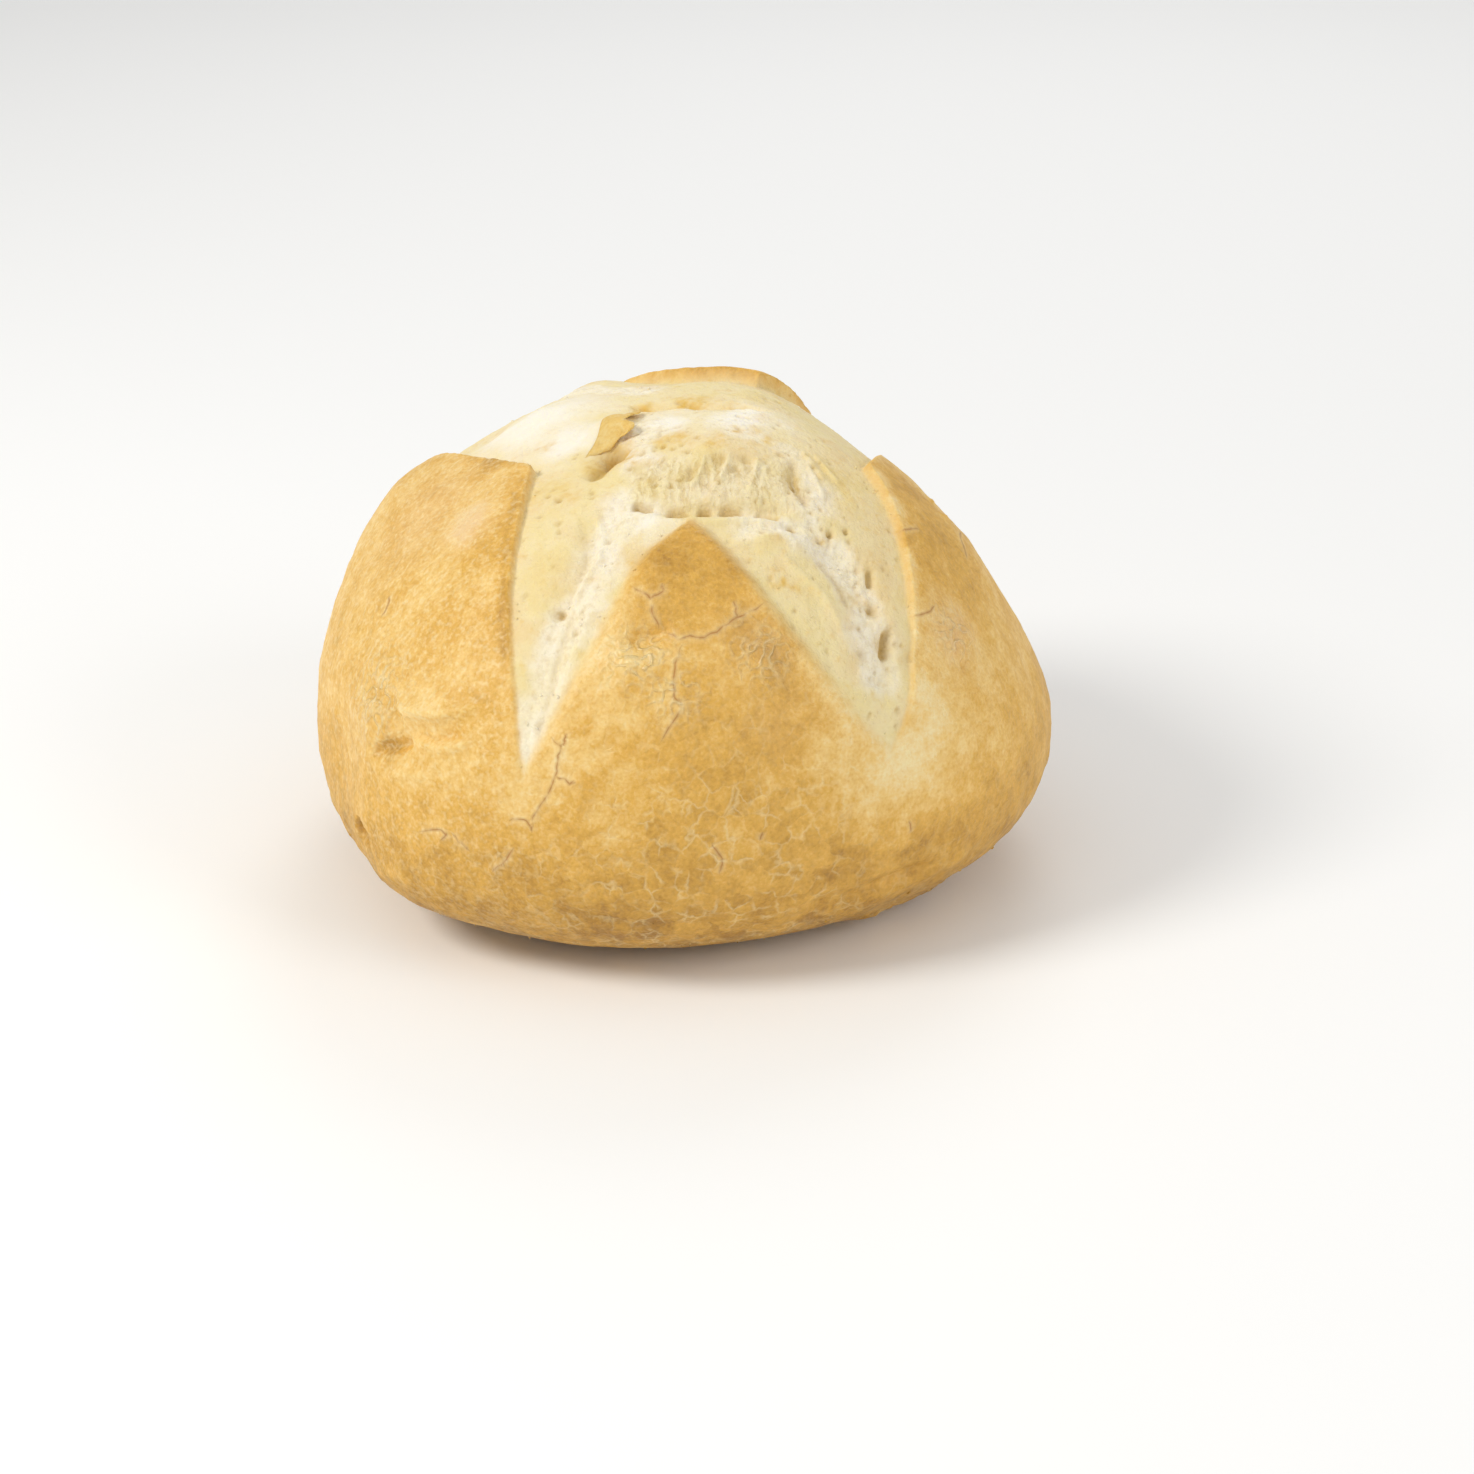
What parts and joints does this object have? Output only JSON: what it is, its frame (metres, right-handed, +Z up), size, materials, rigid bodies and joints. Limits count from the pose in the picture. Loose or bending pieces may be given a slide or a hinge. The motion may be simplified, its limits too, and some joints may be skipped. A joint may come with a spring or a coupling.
{
  "type": "sourdough loaf",
  "caption": "Round crusty loaf with a cross cut that opened in the oven: pointed lobes of golden crust round a star of pale torn crumb, standing on a flat base.",
  "frame": {"origin": "middle of the loaf's bounding box, on the table plane that its flat base rests on", "axes": "+Z up, -Y towards the front that the picture shows, +X to the right of that view"},
  "size_m": [0.2224, 0.2238, 0.1404],
  "materials": {
    "crust": "matte baked crust, golden, with pale open crumb in the cut"
  },
  "bodies": {
    "root": {"loaf": "crust"}
  },
  "joints": []
}
